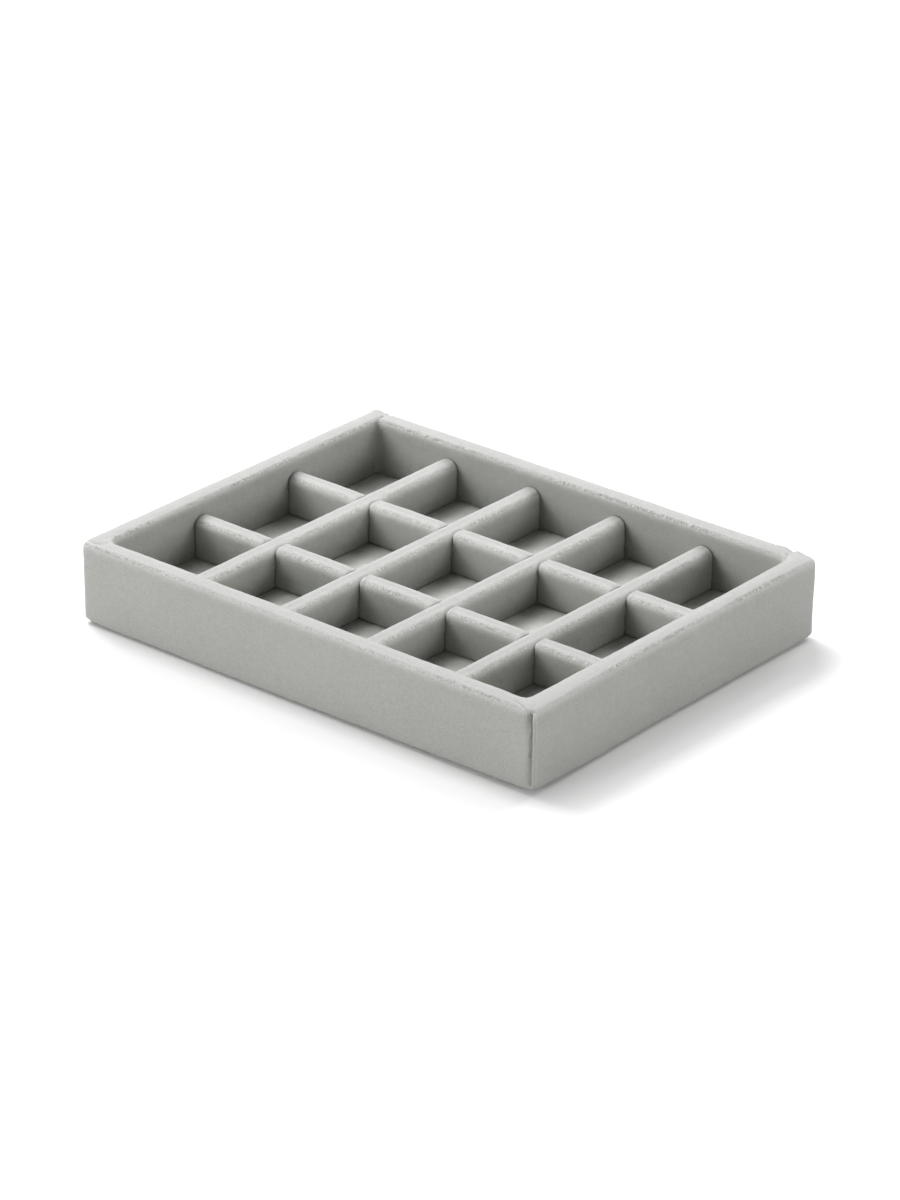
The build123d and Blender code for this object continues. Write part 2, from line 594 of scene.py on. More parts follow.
class Nodes:
    """A material, or the world, that is put together from shader nodes."""

    def __init__(self, owner: bpy.types.ID) -> None:
        """Empties the node tree of a new material or world."""
        self.owner = owner
        owner.use_nodes = True
        self.tree = owner.node_tree
        self.tree.nodes.clear()

    @classmethod
    def for_material(cls, name: str) -> "Nodes":
        """Starts an empty material."""
        return cls(bpy.data.materials.new(name))

    def add(self, kind: str, settings: dict[str, object] | None = None,
            **inputs: object) -> bpy.types.Node:
        """Adds a node.

        Args:
            kind: the node's type, without its prefix.
            settings: properties of the node.
            inputs: values or sockets for its inputs, by name with an underscore for each
                blank, or by number after an i.

        Returns:
            The node.
        """
        node = self.tree.nodes.new(f"ShaderNode{kind}")
        for name, value in (settings or {}).items():
            setattr(node, name, value)
        for name, value in inputs.items():
            numbered = name[0] == "i" and name[1:].isdigit()
            key = int(name[1:]) if numbered else name.replace("_", " ")
            if isinstance(value, bpy.types.NodeSocket):
                self.tree.links.new(value, node.inputs[key])
            else:
                node.inputs[key].default_value = value
        return node

    def where(self) -> bpy.types.NodeSocket:
        """The place on the piece."""
        return self.add("TexCoord").outputs["Object"]

    def stored(self, name: str) -> bpy.types.NodeSocket:
        """A number that is stored on the mesh."""
        return self.add("Attribute", {"attribute_name": name}).outputs["Fac"]

    def noise(self, where: bpy.types.NodeSocket, size: float, detail: float = 2.0,
              rough: float = 0.5) -> bpy.types.NodeSocket:
        """A noise of this grain size in metres, from 0 to 1."""
        return self.add("TexNoise", Vector=where, Scale=1 / size, Detail=detail,
                        Roughness=rough).outputs[0]

    def drawn(self, where: bpy.types.NodeSocket, share: Shade) -> bpy.types.NodeSocket:
        """A place for patterns that are drawn out where a share is below 1."""
        return self.add("Mapping", Vector=where, Scale=share).outputs[0]

    def spread(self, value: object, start: float, end: float, low: float = 0.0,
               high: float = 1.0) -> bpy.types.NodeSocket:
        """Maps start..end to low..high."""
        return self.add("MapRange", i0=value, i1=start, i2=end, i3=low, i4=high).outputs[0]

    def math(self, operation: str, first: object, second: object) -> bpy.types.NodeSocket:
        """Joins two numbers."""
        return self.add("Math", {"operation": operation}, i0=first, i1=second).outputs[0]

    def times(self, first: object, second: object) -> bpy.types.NodeSocket:
        """Multiplies two numbers."""
        return self.math("MULTIPLY", first, second)

    def plus(self, first: object, second: object) -> bpy.types.NodeSocket:
        """Adds two numbers."""
        return self.math("ADD", first, second)

    def scaled(self, vector: object, factor: object) -> bpy.types.NodeSocket:
        """Multiplies a colour or a place by a number."""
        return self.add("VectorMath", {"operation": "SCALE"}, Vector=vector,
                        Scale=factor).outputs[0]

    def blend(self, share: object, first: Shade, second: Shade) -> bpy.types.NodeSocket:
        """Mixes two colours."""
        return self.add("Mix", {"data_type": "RGBA"}, i0=share, i6=(*first, 1),
                        i7=(*second, 1)).outputs[2]

    def matt(self, colour: object, height: object, relief: tuple[float, float], rough: float,
             gloss: float, **more: float) -> bpy.types.ID:
        """Ends a material in a matt shader.

        Args:
            colour: its colour.
            height: the height of its surface, from 0 to 1.
            relief: how strong the height shows, and its depth in metres.
            rough: its roughness.
            gloss: its specular level.
            more: other inputs of the shader.

        Returns:
            The material.
        """
        bump = self.add("Bump", Strength=relief[0], Distance=relief[1], Height=height)
        return self.finish(self.add("BsdfPrincipled", Base_Color=colour, Normal=bump.outputs[0],
                                    Roughness=rough, Specular_IOR_Level=gloss, **more))

    def seen(self) -> bpy.types.NodeSocket:
        """1 for what is seen, straight or mirrored, and 0 for light."""
        rays = self.add("LightPath").outputs
        return self.math("MAXIMUM", rays["Is Camera Ray"], rays["Is Glossy Ray"])

    def finish(self, shader: bpy.types.Node, output: str = "OutputMaterial") -> bpy.types.ID:
        """Links the shader to the output and returns the material or world."""
        self.tree.links.new(shader.outputs[0], self.add(output).inputs[0])
        return self.owner


@dataclass(frozen=True)
class VelourFinish:
    """Short combed pile: mottled, matt, with a soft sheen, rough break lines, and painted light
    and shade that follow the surface's tilt.
    """

    slot: str = "velour"
    dark: Shade = (0.254, 0.257, 0.241)
    light: Shade = (0.364, 0.369, 0.346)
    fibre: float = 0.36 * MM
    speck: float = 0.42 * MM
    streak: float = 0.8 * MM
    tuft: float = 0.8 * MM
    patch: float = 1.6 * MM
    mottle: float = 1.8 * MM
    cloud: float = 16 * MM
    drawn: Shade = (1.0, 1.0, 0.14)
    fibre_tone: float = 1.15
    mottle_tone: float = 0.24
    cloud_tone: float = 0.18
    streak_tone: float = 0.09
    speck_tone: float = 0.8
    # Painted shade in the gaps between tufts
    gap_shade: float = 0.2
    # Saturation of the painted top light on upward faces
    top_light_saturation: float = 0.45
    relief: tuple[float, float] = (0.6, 0.2 * MM)
    mottle_height: float = 0.4
    fibre_height: float = 0.5
    streak_height: float = 0.12
    gap_depth: float = 0.9
    sheen: float = 0.03

    def material(self, brushing: Brushing) -> bpy.types.ID:
        """Makes the material.

        Args:
            brushing: how the pile lies.

        Returns:
            The material.
        """
        sheet = Nodes.for_material(f"velour_{brushing.name.lower()}")
        where = sheet.where()
        fibre = sheet.noise(where, self.fibre, 3.0, 0.7)
        mottle = sheet.noise(where, self.mottle, 3.0, 0.6)
        streaks = sheet.noise(sheet.drawn(where, self.drawn), self.streak, 2.0, 0.6)
        broken = sheet.stored("broken_pile")
        specks = sheet.spread(sheet.noise(where, self.speck, 2.0, 0.7), 0.35, 0.65, -1.0, 1.0)
        tone = sheet.plus(sheet.times(sheet.times(specks, broken), self.speck_tone), 0.5)
        gaps = sheet.times(self.tuft_gaps(sheet, where), broken)
        for noise, weight in ((fibre, self.fibre_tone), (mottle, self.mottle_tone),
                              (sheet.noise(where, self.cloud), self.cloud_tone),
                              (streaks, self.streak_tone * brushing.value)):
            if weight:
                shifted = sheet.math("SUBTRACT", noise, 0.5)
                tone = sheet.plus(tone, sheet.times(shifted, weight))
        colour = sheet.blend(sheet.spread(tone, 0.1, 0.9), self.dark, self.light)
        # Painted light and shade: the stored tilt share lightens or darkens the colour, and
        # painted shade darkens the gaps between tufts
        laid = sheet.math("SUBTRACT", sheet.stored("painted_light_and_shade"),
                          sheet.times(gaps, self.gap_shade))
        # Painted top light: the colour of upward faces is made greyer, standing in for the light
        # from above
        top_light = sheet.times(sheet.stored("painted_top_light"), sheet.math("SUBTRACT", 1.0, gaps))
        colour = sheet.add("HueSaturation", Color=sheet.scaled(colour, sheet.plus(laid, 1.0)),
                           Saturation=sheet.spread(top_light, 0.0, 1.0, 1.0, self.top_light_saturation))
        height = sheet.plus(sheet.times(mottle, self.mottle_height),
                            sheet.times(fibre, self.fibre_height))
        if brushing.value:
            height = sheet.plus(height, sheet.times(streaks, self.streak_height))
        height = sheet.math("SUBTRACT", height, sheet.times(gaps, self.gap_depth))
        return sheet.matt(colour.outputs[0], height, self.relief, 0.95, 0.15,
                          Sheen_Weight=self.sheen, Sheen_Roughness=0.5)

    def tuft_gaps(self, sheet: Nodes, where: bpy.types.NodeSocket) -> bpy.types.NodeSocket:
        """The winding gaps between tufts of pile, darkened in the colour with painted shade.

        Args:
            sheet: the material.
            where: the place on the piece.

        Returns:
            1 in a gap and 0 on a tuft.
        """
        drift = sheet.add("TexNoise", Vector=where, Scale=1 / self.tuft, Detail=1.0).outputs[1]
        bent = sheet.add("VectorMath", {"operation": "ADD"}, i0=where,
                         i1=sheet.scaled(drift, self.tuft)).outputs[0]
        rim = sheet.add("TexVoronoi", {"feature": "DISTANCE_TO_EDGE"}, Vector=bent,
                        Scale=1 / self.tuft).outputs["Distance"]
        patchy = sheet.spread(sheet.noise(where, self.patch), 0.36, 0.56)
        return sheet.times(sheet.spread(rim, 0.0, 0.3, 1.0, 0.0), patchy)


@dataclass(frozen=True)
class PressedFinish:
    """A matt pressed sheet: fine fibres on coarser clouds."""

    slot: str
    dark: Shade
    light: Shade
    fibre: float
    cloud: float
    relief: tuple[float, float]
    rough: float
    gloss: float
    drawn: Shade | None = None

    def material(self) -> bpy.types.ID:
        """Makes the material."""
        sheet = Nodes.for_material(self.slot)
        where = sheet.where()
        lines = sheet.drawn(where, self.drawn) if self.drawn else where
        fibres = sheet.noise(lines, self.fibre, 4.0, 0.7)
        tone = sheet.plus(sheet.times(fibres, 0.6),
                          sheet.times(sheet.noise(where, self.cloud, 3.0), 0.4))
        colour = sheet.blend(sheet.spread(tone, 0.3, 0.7), self.dark, self.light)
        return sheet.matt(colour, fibres, self.relief, self.rough, self.gloss)


GREYBOARD = PressedFinish("greyboard", (0.17, 0.15, 0.12), (0.30, 0.27, 0.22), 0.7 * MM, 9 * MM,
                          (0.4, 0.1 * MM), 0.85, 0.25)
BACKING = PressedFinish("backing_sheet", (0.17, 0.175, 0.165), (0.25, 0.255, 0.24), 0.5 * MM,
                        3 * MM, (0.3, 0.08 * MM), 0.75, 0.3, (0.2, 1.0, 1.0))


@dataclass(frozen=True)
class FoamFinish:
    """Soft foam sheet with open cells."""

    slot: str = "foam"
    wall: Shade = (0.66, 0.64, 0.56)
    pore: Shade = (0.38, 0.36, 0.30)
    cell: float = 0.6 * MM

    def material(self) -> bpy.types.ID:
        """Makes the material."""
        sheet = Nodes.for_material(self.slot)
        cells = sheet.add("TexVoronoi", Vector=sheet.where(), Scale=1 / self.cell).outputs[0]
        height = sheet.spread(cells, 0.1, 0.5)
        return sheet.matt(sheet.blend(height, self.pore, self.wall), height, (0.6, 0.2 * MM),
                          0.9, 0.2)


@dataclass(frozen=True)
class TableFinish:
    """White table: it keeps shadows and bounces light, and is white to the camera."""

    grey: float = 0.6
    glow: float = 0.1

    def material(self) -> bpy.types.ID:
        """Makes the material."""
        sheet = Nodes.for_material("white_table")
        plain = sheet.add("BsdfDiffuse", Color=(self.grey, self.grey, self.grey, 1))
        glow = sheet.add("Emission", Color=(1, 1, 1, 1),
                         Strength=sheet.times(sheet.seen(), self.glow))
        return sheet.finish(sheet.add("AddShader", i0=plain.outputs[0], i1=glow.outputs[0]))


@dataclass
class Wardrobe:
    """The materials, each made once."""

    upright: bpy.types.ID = field(
        default_factory=lambda: VelourFinish().material(Brushing.UPRIGHT))
    even: bpy.types.ID = field(
        default_factory=lambda: VelourFinish().material(Brushing.EVEN))
    board: bpy.types.ID = field(default_factory=GREYBOARD.material)
    foam: bpy.types.ID = field(default_factory=FoamFinish().material)
    backing: bpy.types.ID = field(default_factory=BACKING.material)
    table: bpy.types.ID = field(default_factory=TableFinish().material)

    def dress_boards(self) -> None:
        """Gives every CAD board its greyboard material."""
        for name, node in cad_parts.items():
            if name.endswith("_board") or "_board_" in name:
                for board_slot in node.material_slots:
                    board_slot.material = self.board
                if not node.material_slots:
                    node.data.materials.append(self.board)


def dress(obj: bpy.types.Object, material: bpy.types.ID, node: str) -> None:
    """Gives a new piece its material and its body, hides the CAD node that it replaces, and logs
    it.

    Args:
        obj: the piece.
        material: its material.
        node: the CAD node that it replaces.
    """
    obj.data.materials.clear()
    obj.data.materials.append(material)
    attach(obj, "root")
    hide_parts(node)
    span = np.ptp(corners(obj), axis=0) / MM
    triangles = sum(len(face.vertices) - 2 for face in obj.data.polygons)
    LOG.info("%s: %.1f x %.1f x %.1f mm, %d triangles", obj.name, *span, triangles)


SOFT_WAVES = Relief("soft_waves", 14 * MM, 0.30 * MM)
PILE_LUMPS = Relief("pile_lumps", 2.2 * MM, 0.16 * MM, 2)
TUFTS = Relief("tufts", 0.8 * MM, 0.45 * MM)
TUFT_MESH = 0.34 * MM
# Painted light and shade: the share by which the velour's colour is lightened, and darkened where
# it is below 0, for each upward tilt of the surface
WALL_LIGHT_AND_SHADE = ((0.0, 0.0), (0.1, 0.06), (0.34, 0.16), (0.5, 0.2), (0.64, 0.17), (0.77, 0.12),
            (0.87, 0.12), (0.94, 0.02), (1.0, -0.12))
DIVIDER_LIGHT_AND_SHADE = ((0.0, 0.06), (0.1, 0.12), (0.26, 0.26), (0.5, 0.36), (0.64, 0.37), (0.77, 0.34),
               (0.87, 0.24), (0.94, 0.07), (1.0, -0.14))
# Painted shade on faces that face the back and the left
FAR_PAINTED_SHADE = ((0.0, -0.1), (0.2, -0.12), (0.5, -0.18), (0.77, -0.22), (0.94, -0.2), (1.0, -0.13))
# Painted light added on faces that face the right
RIGHT_PAINTED_LIGHT = ((0.0, 0.0), (0.1, 0.04), (0.3, 0.1), (0.5, 0.16), (0.64, 0.18), (0.77, 0.15),
             (0.9, 0.06), (1.0, 0.0))


def break_lines(obj: bpy.types.Object, patches: Patches, base: float) -> np.ndarray:
    """Where the pile breaks, on the steep part of a crown.

    Args:
        obj: the piece.
        patches: places (x, y) in millimetres where it is rough, and how far each reaches.
        base: how rough it is elsewhere.

    Returns:
        One share for each corner.
    """
    places, tilt = corners(obj), corners(obj, "normal")[:, 2]
    band = smooth_step(tilt, 0.36, 0.56) * (1 - smooth_step(tilt, 0.7, 0.86))
    strength = np.full(len(places), base)
    for x, y, reach in patches:
        gap = np.hypot(places[:, 0] - x * MM, places[:, 1] - y * MM)
        strength = np.maximum(strength, 1 - smooth_step(gap, 0.6 * reach * MM, reach * MM))
    return band * strength


def paint_tilt_shading(obj: bpy.types.Object, tilt_shading: TiltShading) -> None:
    """Stores painted light and shade for the material: lighter or darker by the surface's tilt,
    darker on faces that face the back and the left, lighter on right-hand shoulders, and the
    upward share for the painted top light.

    Args:
        obj: the piece.
        tilt_shading: the painted light and shade, a share for each upward tilt of the surface.
    """
    facing = corners(obj, "normal")
    tilt = facing[:, 2]
    far = smooth_step(facing[:, 1] - facing[:, 0], 0.02, 0.2)
    right = smooth_step(facing[:, 0], 0.05, 0.4)
    near_shading = np.interp(tilt, *zip(*tilt_shading)) + np.interp(tilt, *zip(*RIGHT_PAINTED_LIGHT)) * right
    share = near_shading * (1 - far) + np.interp(tilt, *zip(*FAR_PAINTED_SHADE)) * far
    paint_attribute(obj, "painted_light_and_shade", share)
    # The share of upward tilt, for the painted top light
    paint_attribute(obj, "painted_top_light", smooth_step(tilt, 0.1, 0.8))


def raise_tufts(obj: bpy.types.Object, patches: Patches, base: float, tilt_shading: TiltShading,
                limit: str = "") -> None:
    """Roughens the break lines and stores them, and the painted light and shade, for the material.

    Args:
        obj: the piece.
        patches: as for break_lines.
        base: as for break_lines.
        tilt_shading: as for paint_tilt_shading.
        limit: the vertex group that limits it.
    """
    def shares(piece: bpy.types.Object) -> np.ndarray:
        """The break lines, within their limit."""
        rough = break_lines(piece, patches, base)
        return rough * group_shares(piece, limit) if limit else rough

    refine(obj, lambda piece: shares(piece) > 0.3, TUFT_MESH)
    paint_tilt_shading(obj, tilt_shading)
    tufts = shares(obj)
    paint_group(obj, "tufts", tufts)
    TUFTS.raise_on(obj, "tufts")
    paint_attribute(obj, "broken_pile", tufts)


@dataclass
class WallWrap:
    """The strip of velour over the outside, crown and inside of the four walls."""

    layout: TrayLayout
    flat: tuple[float, float] = (56 * MM, 548 * MM)
    crown: float = 2.2 * MM
    tight_corner: float = 0.8 * MM
    foot: float = 1.3 * MM
    foot_sag: float = 0.15 * MM
    foot_rim: tuple[float, float] = (1.2 * MM, 2.6 * MM)
    foot_top: float = 6 * MM
    corner_lift: float = 0.45 * MM
    corner_reach: float = 11 * MM
    tip_reach: float = 4.5 * MM
    lift_reach: tuple[float, float] = (85 * MM, 28 * MM)
    hem_reach: float = 9.0 * MM
    whole_edge: float = 3.2 * MM
    column: float = 1.5 * MM
    row: float = 1.7 * MM
    flare: float = 1.15 * MM
    flare_reach: float = 60 * MM
    back_flare: float = 0.45
    back_reach: float = 22 * MM
    roughness: float = 0.45
    rough_patches: tuple[tuple[float, float, float], ...] = (
        (-64, -59, 30), (57, -59, 14), (77, -12, 28), (77, 34, 18), (-73, 8, 20), (-73, 42, 16),
        (-52, 55, 22), (20, 59, 40))

    def build(self) -> bpy.types.Object:
        """Builds the wrap as one sheet.

        Returns:
            The finished piece.
        """
        obj = self.block()
        self.round_edges(obj)
        self.loosen(obj)
        press_creases(obj, self.creases(), 0.3 * MM)
        thicken(obj, self.layout.velour, 0.12)
        return obj

    def block(self) -> bpy.types.Object:
        """A block with its well sunk from above, open below but for the hem.

        Returns:
            The block.
        """
        lay = self.layout
        obj = add_block("wall_wrap", (-lay.half_length, -lay.half_width, lay.hem_bottom),
                        (lay.half_length, lay.half_width, lay.height))
        hem_x, hem_y = lay.half_length - self.hem_reach, lay.half_width - self.hem_reach

        def within(face: object, level: float, x: float, y: float) -> bool:
            """Whether a face lies at this level, within x and y."""
            spot = place(face)
            return near(spot.z, level) and abs(spot.x) < x and abs(spot.y) < y

        with Bench(obj) as bench:
            bench.cut(Across.LENGTH, -lay.inner_x, lay.inner_x)
            bench.cut(Across.WIDTH, -lay.inner_y, lay.inner_y)
            bench.pick(Pick.FACE, lambda face: within(face, lay.height, lay.inner_x, lay.inner_y))
            bench.draw_out(lay.base_top - lay.height)
            bpy.ops.mesh.delete(type="FACE")
            bench.cut(Across.LENGTH, -hem_x, hem_x)
            bench.cut(Across.WIDTH, -hem_y, hem_y)
            bench.remove(lambda face: within(face, lay.hem_bottom, hem_x, hem_y))
        return obj

    def round_edges(self, obj: bpy.types.Object) -> None:
        """Rounds the crown, the corners and the foot, and divides the mesh evenly."""
        lay = self.layout

        def share(edge: object) -> float:
            """The bevel's share at an edge."""
            spot = place(edge)
            outer_x = near(abs(spot.x), lay.half_length)
            outer_y = near(abs(spot.y), lay.half_width)
            if runs(edge, Across.HEIGHT):
                if not (outer_x and outer_y):
                    return 0.0
                seam_corner = spot.x > 0 > spot.y
                return self.tight_corner / self.crown if seam_corner else 1.0
            if near(spot.z, lay.height):
                inner_x = near(abs(spot.x), lay.inner_x) and abs(spot.y) < lay.inner_y
                inner_y = near(abs(spot.y), lay.inner_y) and abs(spot.x) < lay.inner_x
                return 1.0 if outer_x or outer_y or inner_x or inner_y else 0.0
            if near(spot.z, lay.hem_bottom) and (outer_x or outer_y):
                return self.foot / self.crown
            return 0.0

        with Bench(obj) as bench:
            bench.weigh(share)
        round_weighed(obj, self.crown)
        with Bench(obj) as bench:
            for across, pitch in ((Across.LENGTH, self.column), (Across.WIDTH, self.column),
                                  (Across.HEIGHT, self.row)):
                bench.divide(across, self.whole_edge, pitch)
            bench.merge()
            bench.face_out()
        apply_modifier(obj, "SUBSURF", levels=1, render_levels=1)

    def loosen(self, obj: bpy.types.Object) -> None:
        """Pulls the right-hand face out of square and makes the cloth uneven."""
        lay = self.layout
        places = corners(obj)
        right = smooth_step(places[:, 0], lay.inner_x + 2 * MM, lay.half_length)
        front = 1 - smooth_step(places[:, 1], -lay.half_width, self.flare_reach - lay.half_width)
        back = (smooth_step(places[:, 1], lay.half_width - self.back_reach, lay.half_width)
                * smooth_step(places[:, 2], 4 * MM, 20 * MM))
        shift(obj, Push.RIGHT, self.flare, right * (front + self.back_flare * back))
        self.settle(obj)
        above = smooth_step(corners(obj)[:, 2], 2 * MM, 8 * MM)
        paint_group(obj, "above_foot", 0.35 + 0.65 * above)
        SOFT_WAVES.raise_on(obj, "above_foot")
        PILE_LUMPS.raise_on(obj)
        raise_tufts(obj, self.rough_patches, self.roughness, WALL_LIGHT_AND_SHADE)

    def settle(self, obj: bpy.types.Object) -> None:
        """Lets the foot down to the table, but for the four corners, which are lifted."""
        lay = self.layout
        places = corners(obj)
        from_x = lay.half_length - np.abs(places[:, 0])
        from_y = lay.half_width - np.abs(places[:, 1])
        low = 1 - smooth_step(places[:, 2], lay.hem_bottom + self.foot, self.foot_top)
        foot = low * (1 - smooth_step(np.minimum(from_x, from_y), *self.foot_rim))
        corner = np.hypot(from_x, from_y)
        lift = (1 - smooth_step(corner, 0, self.corner_reach)) ** 1.5
        seam_corner = np.hypot((lay.half_length - places[:, 0]) / self.lift_reach[0],
                               (lay.half_width + places[:, 1]) / self.lift_reach[1])
        lift = np.maximum(lift, np.clip(1 - seam_corner, 0, 1) * 1.3)
        at_seam = (places[:, 0] > 0) * (places[:, 1] < 0)
        lift += (1 - smooth_step(corner, 0, self.tip_reach)) * at_seam
        highest = 2.3
        shift(obj, Push.UP, -self.foot_sag, np.clip(foot * (1 - lift), 0, 1))
        shift(obj, Push.UP, highest * self.corner_lift, np.clip(foot * lift / highest, 0, 1))

    def creases(self) -> list[Crease]:
        """The upright seam, the cuts over the crown and the folds at the corners."""
        top = self.layout.height / MM
        seam = (
            Crease(((77.3, -59.6, top - 1.8), (77.3, -59.6, top - 7.5)), (0.9, 0.35), 0.95),
            Crease(((77.45, -59.6, top - 9.5), (77.4, -59.6, top - 13.0)), (0.45, 0.3), 0.7),
            Crease(((78.7, -59.2, top - 1.8), (78.6, -59.2, 2.8)), (-0.32, -0.25), 1.0),
            Crease(((78.0, -59.6, top - 0.8), (77.85, -59.6, 20.6), (78.15, -59.6, 18.1),
                    (77.9, -59.6, 15.8), (78.15, -59.6, 13.4), (77.85, -59.6, 11.3),
                    (78.0, -59.6, 8.7), (77.75, -59.6, 6.0), (77.84, -59.6, 3.4)),
                   (1.15, 0.8), 0.75),
            Crease(((71.8, -57.8, top), (74.9, -58.9, top - 0.3), (77.9, -59.5, top - 1.3)),
                   (0.15, 0.45), 0.5),
        )
        left = (
            Crease(((-76.4, -57.3, top - 1), (-73.6, -58.4, top), (-71.2, -58.0, top),
                    (-70.6, -55.0, top)), (0.17, 0.15), 0.6),
            Crease(((-75.2, -55.8, top), (-72.8, -56.6, top)), (-0.12, -0.1), 1.7),
        )
        back = (
            Crease(((-71.5, 53.6, top - 2.6), (-71.4, 54.4, top - 0.6), (-71.2, 56.5, top),
                    (-71.2, 59.5, top - 1.6)), (0.5, 0.25), 0.5),
            Crease(((-75.6, 58.0, top - 0.5), (-74.6, 57.6, top)), (-0.35, -0.3), 2.2),
            Crease(((71.5, 53.6, top - 0.8), (70.3, 57.2, top), (70.2, 59.5, top - 1.6)),
                   (0.28, 0.32), 0.7),
            Crease(((66.0, 58.2, top - 0.4), (68.0, 58.2, top - 0.4)), (-0.2, -0.3), 1.2),
            Crease(((71.8, 58.6, top - 0.6), (73.2, 58.4, top - 0.6)), (-0.4, -0.2), 1.0),
        )
        return [*seam, *left, *back]


@dataclass
class Sleeves:
    """The velour sleeves of the dividers, open at the bottom."""

    layout: TrayLayout
    long_flat: tuple[float, float] = (28 * MM, 154 * MM)
    cross_flat: tuple[float, float] = (28 * MM, 118 * MM)
    crown: float = 2.7 * MM
    end_round: float = 0.6 * MM
    slot_gap: float = 0.06 * MM
    cope_bite: float = 0.25 * MM
    cope_run: float = 3 * MM
    cope_tip: float = 1.2 * MM
    sink: float = 0.22 * MM
    sink_run: float = 3.5 * MM
    column: float = 1.4 * MM
    row: float = 1.6 * MM
    whole_edge: float = 3.0 * MM
    whole_top: float = 2.5 * MM
    roughness: float = 0.7
    keep: float = 0.2

    @property
    def half_slot(self) -> float:
        """Half the width of a slot."""
        return self.layout.half_divider + self.slot_gap

    @property
    def end_cut(self) -> float:
        """How far the cut that keeps an end crisp is from that end."""
        return 1.5 * self.end_round

    def slot_edges(self, lines: Iterable[float]) -> list[float]:
        """Both edges of the slot at each line."""
        return [line + side * self.half_slot for line in lines for side in (-1, 1)]

    def round_edges(self, obj: bpy.types.Object, along: Across,
                    restarts: Sequence[float] = ()) -> None:
        """Rounds the crown and the ends of a sleeve and divides its mesh evenly.

        Args:
            obj: the sleeve, still a plain box in the middle of the tray.
            along: the direction that it runs in.
            restarts: the places along it where a stretch starts anew.
        """
        lay = self.layout
        side = Across.WIDTH if along is Across.LENGTH else Across.LENGTH

        def share(edge: object) -> float:
            """The bevel's share at an edge."""
            spot = place(edge)
            on_side = near(abs(spot[side.value]), lay.half_divider)
            on_top = near(spot.z, lay.divider_top)
            if on_top and runs(edge, along) and on_side:
                return 1.0
            if near(spot[along.value], *restarts) and (
                    runs(edge, Across.HEIGHT) and on_side or on_top and runs(edge, side)):
                return self.end_round / self.crown
            return 0.0

        with Bench(obj) as bench:
            bench.weigh(share)
        round_weighed(obj, self.crown)
        reach = float(np.max(corners(obj)[:, along.value]))
        with Bench(obj) as bench:
            bench.pick(Pick.EDGE, lambda edge: place(edge).z > lay.floor_top + 0.1 * MM
                       and all(near(abs(corner.co[along.value]), reach) for corner in edge.verts))
            bpy.ops.mesh.bevel(offset=self.end_round, segments=2, affect="EDGES")
            bench.divide(along, self.whole_edge, self.column)
            bench.divide(Across.HEIGHT, self.whole_edge, self.row)
            bench.divide(side, self.whole_top, self.column)
            bench.merge()
            bench.face_out()
        apply_modifier(obj, "SUBSURF", levels=1, render_levels=1)

    def loosen(self, obj: bpy.types.Object, along: Across) -> None:
        """Makes the cloth of a sleeve uneven, but for the places where two sleeves meet.

        Args:
            obj: the sleeve.
            along: the direction that it runs in.
        """
        gap = self.layout.from_crossings(corners(obj))[along.value]
        paint_group(obj, "free", smooth_step(gap, 0.2 * MM, 2.5 * MM))
        SOFT_WAVES.raise_on(obj, "free")
        PILE_LUMPS.raise_on(obj, "free")
        raise_tufts(obj, (), self.roughness, DIVIDER_LIGHT_AND_SHADE, "free")

    def cross_sleeve(self) -> bpy.types.Object:
        """A cross sleeve in the middle of the tray, notched from below for the long ones.

        Returns:
            The sleeve, without its thickness.
        """
        lay = self.layout
        obj = add_block("cross_pattern", (-lay.half_divider, -lay.cross_reach, lay.floor_top),
                        (lay.half_divider, lay.cross_reach, lay.divider_top))
        with Bench(obj) as bench:
            bench.cut(Across.HEIGHT, lay.lap_level)
            bench.cut(Across.WIDTH, *self.slot_edges(lay.long_lines))
            bench.remove(lambda face: near(place(face).z, lay.floor_top)
                         or place(face).z < lay.lap_level
                         and any(abs(place(face).y - line) < self.half_slot
                                 for line in lay.long_lines))
            bench.cut(Across.WIDTH, *[side * (lay.cross_reach - self.end_cut)
                                      for side in (-1, 1)])
        self.round_edges(obj, Across.WIDTH)
        return obj

    def long_sleeve(self) -> bpy.types.Object:
        """A long sleeve in the middle of the tray, notched from above for the cross ones.

        Returns:
            The sleeve, without its thickness.
        """
        lay = self.layout
        obj = add_block("long_pattern", (-lay.long_reach, -lay.half_divider, lay.floor_top),
                        (lay.long_reach, lay.half_divider, lay.lap_level))
        restarts = [line + self.half_slot for line in lay.cross_lines]

        def in_notch(face: object) -> bool:
            """Whether a face lies between two stretches."""
            return any(abs(place(face).x - line) < self.half_slot for line in lay.cross_lines)

        with Bench(obj) as bench:
            bench.cut(Across.LENGTH, *self.slot_edges(lay.cross_lines))
            bench.pick(Pick.FACE, lambda face: near(place(face).z, lay.lap_level)
                       and not in_notch(face))
            bench.draw_out(lay.divider_top - lay.lap_level)
            bench.remove(lambda face: near(place(face).z, lay.floor_top)
                         or near(place(face).z, lay.lap_level) and in_notch(face))
            bench.cut(Across.LENGTH, *[line - self.half_slot - self.end_round
                                       for line in lay.cross_lines],
                      *[start + self.end_cut for start in restarts],
                      *[side * (lay.long_reach - self.end_cut) for side in (-1, 1)])
        self.round_edges(obj, Across.LENGTH, restarts)
        self.sink_ends(obj)
        self.cope(obj)
        return obj

    def sink_ends(self, obj: bpy.types.Object) -> None:
        """Lets the crown of a long sleeve down a little beside each cross divider."""
        lay, places = self.layout, corners(obj)
        gap = lay.from_crossings(places)[Across.LENGTH.value] - self.slot_gap
        high = smooth_step(places[:, 2], lay.divider_top - self.crown, lay.divider_top)
        shift(obj, Push.UP, -self.sink, (1 - smooth_step(gap, 0, self.sink_run)) * high)

